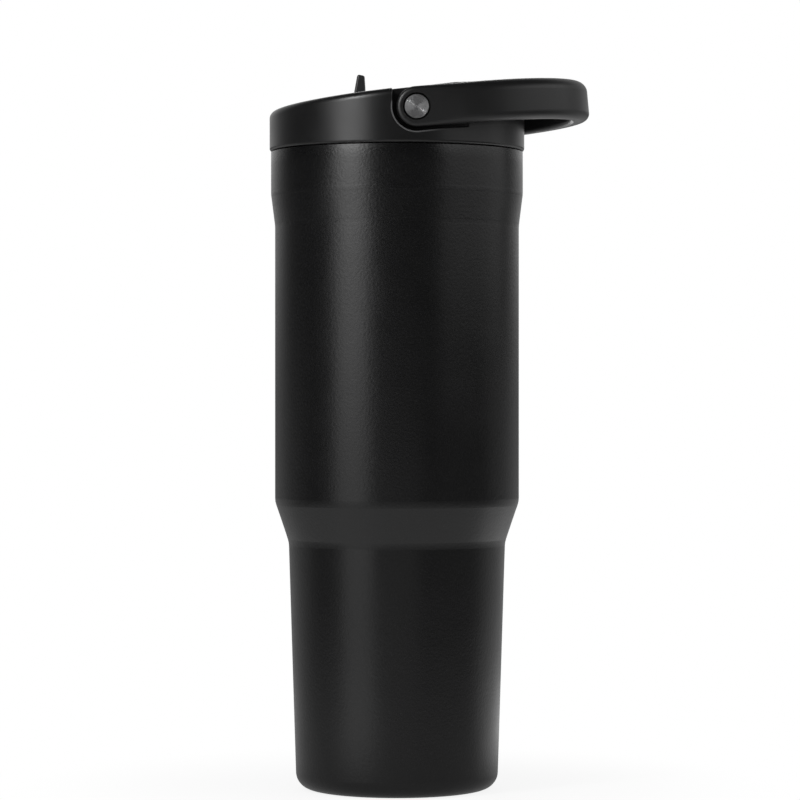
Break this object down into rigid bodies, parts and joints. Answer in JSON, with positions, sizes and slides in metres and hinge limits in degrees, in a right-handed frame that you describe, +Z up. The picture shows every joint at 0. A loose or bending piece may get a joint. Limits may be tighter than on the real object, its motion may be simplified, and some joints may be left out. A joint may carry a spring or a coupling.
{
  "type": "insulated travel mug",
  "caption": "Tall vacuum-insulated travel mug with a cup-holder base, a screw lid with a flip-up drinking spout and straw, and a folding carry handle.",
  "frame": {"origin": "centre of the flat base, on the surface that the mug stands on", "axes": "+Z up along the mug's axis; +X towards the side that the folded carry handle points to, with the drinking side at -X; +Y across, along the handle's pivots"},
  "size_m": [0.1149, 0.0918, 0.2563],
  "materials": {
    "powder_coat": "black powder coat, matte with a fine orange-peel speckle",
    "bare_steel": "bare stainless steel with fine turned lines",
    "spun_steel": "stainless steel cap, turned on its face",
    "screw_steel": "plated steel",
    "lid_plastic": "black moulded plastic with a fine satin texture",
    "handle_plastic": "black moulded plastic, satin",
    "spout_plastic": "dark grey moulded plastic, satin",
    "plug_plastic": "black moulded plastic",
    "bush_plastic": "black bearing plastic",
    "straw_plastic": "smoke-grey straw plastic",
    "silicone": "black food-grade silicone"
  },
  "bodies": {
    "flask": {"outer_shell": "powder_coat", "inner_liner": "bare_steel", "base_cap": "powder_coat", "base_disc": "bare_steel", "vacuum_seal": "bare_steel", "getter": "bare_steel"},
    "lid_seal": {"lid_gasket": "silicone"},
    "lid": {"lid_cover": "lid_plastic", "lid_plug": "plug_plastic", "vent_valve": "silicone", "straw_collar": "plug_plastic", "straw": "straw_plastic", "spout_seal": "silicone", "pivot_pin_near": "spun_steel", "pivot_washer_near": "bush_plastic", "pivot_screw_near": "screw_steel", "pivot_pin_far": "spun_steel", "pivot_washer_far": "bush_plastic", "pivot_screw_far": "screw_steel"},
    "spout": {"spout_rocker": "spout_plastic", "spout_mouthpiece": "silicone"},
    "carry_handle": {"handle": "handle_plastic", "pivot_bush_near": "bush_plastic", "pivot_bush_far": "bush_plastic"}
  },
  "joints": [
    {"name": "lid_lift", "type": "slide", "parent": "flask", "child": "lid_seal", "axis": [0, 0, 1], "range_m": [0, 0.23]},
    {"name": "lid_turn", "type": "hinge", "parent": "lid_seal", "child": "lid", "pos_m": [0, 0, 0.2289], "axis": [0, 0, 1], "range_deg": [0, 270]},
    {"name": "spout_flip", "type": "hinge", "parent": "lid", "child": "spout", "pos_m": [0, 0, 0.24], "axis": [0, 1, 0], "range_deg": [0, 90]},
    {"name": "handle_fold", "type": "hinge", "parent": "lid", "child": "carry_handle", "pos_m": [0.0069, 0, 0.2413], "axis": [0, -1, 0], "range_deg": [0, 95]}
  ]
}
